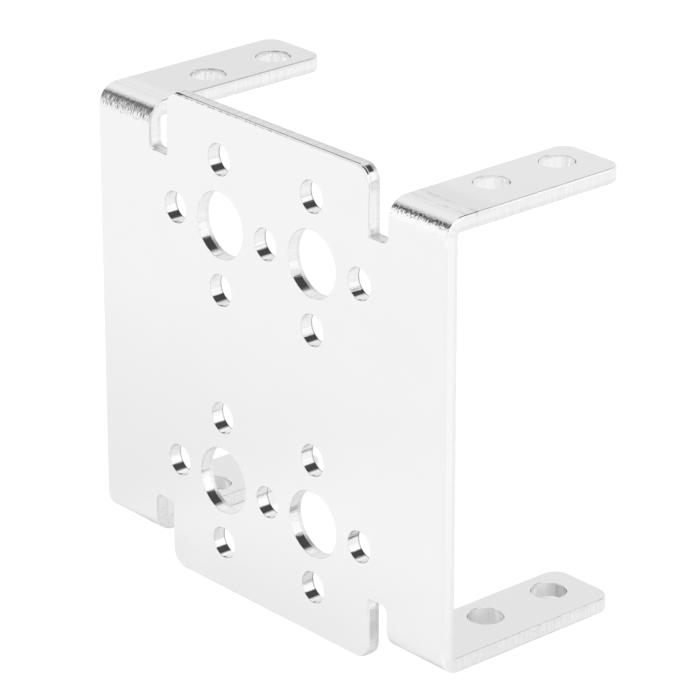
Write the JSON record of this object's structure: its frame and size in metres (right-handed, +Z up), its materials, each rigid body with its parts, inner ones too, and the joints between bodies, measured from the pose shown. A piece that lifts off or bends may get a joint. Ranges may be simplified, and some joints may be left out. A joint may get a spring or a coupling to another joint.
{
  "type": "motor mounting bracket",
  "caption": "Folded sheet-metal bracket with a flat plate, a grid of motor holes, end tongues and corner arms folded back with screw holes.",
  "frame": {"origin": "middle of the plate's front face", "axes": "+X across the plate, +Y back along the arms, +Z up from the lower tongue to the upper tongue"},
  "size_m": [0.06, 0.0268, 0.06],
  "materials": {
    "plated_steel": "bright nickel plate, softly polished by tumbling"
  },
  "bodies": {
    "root": {"bracket": "plated_steel"}
  },
  "joints": []
}
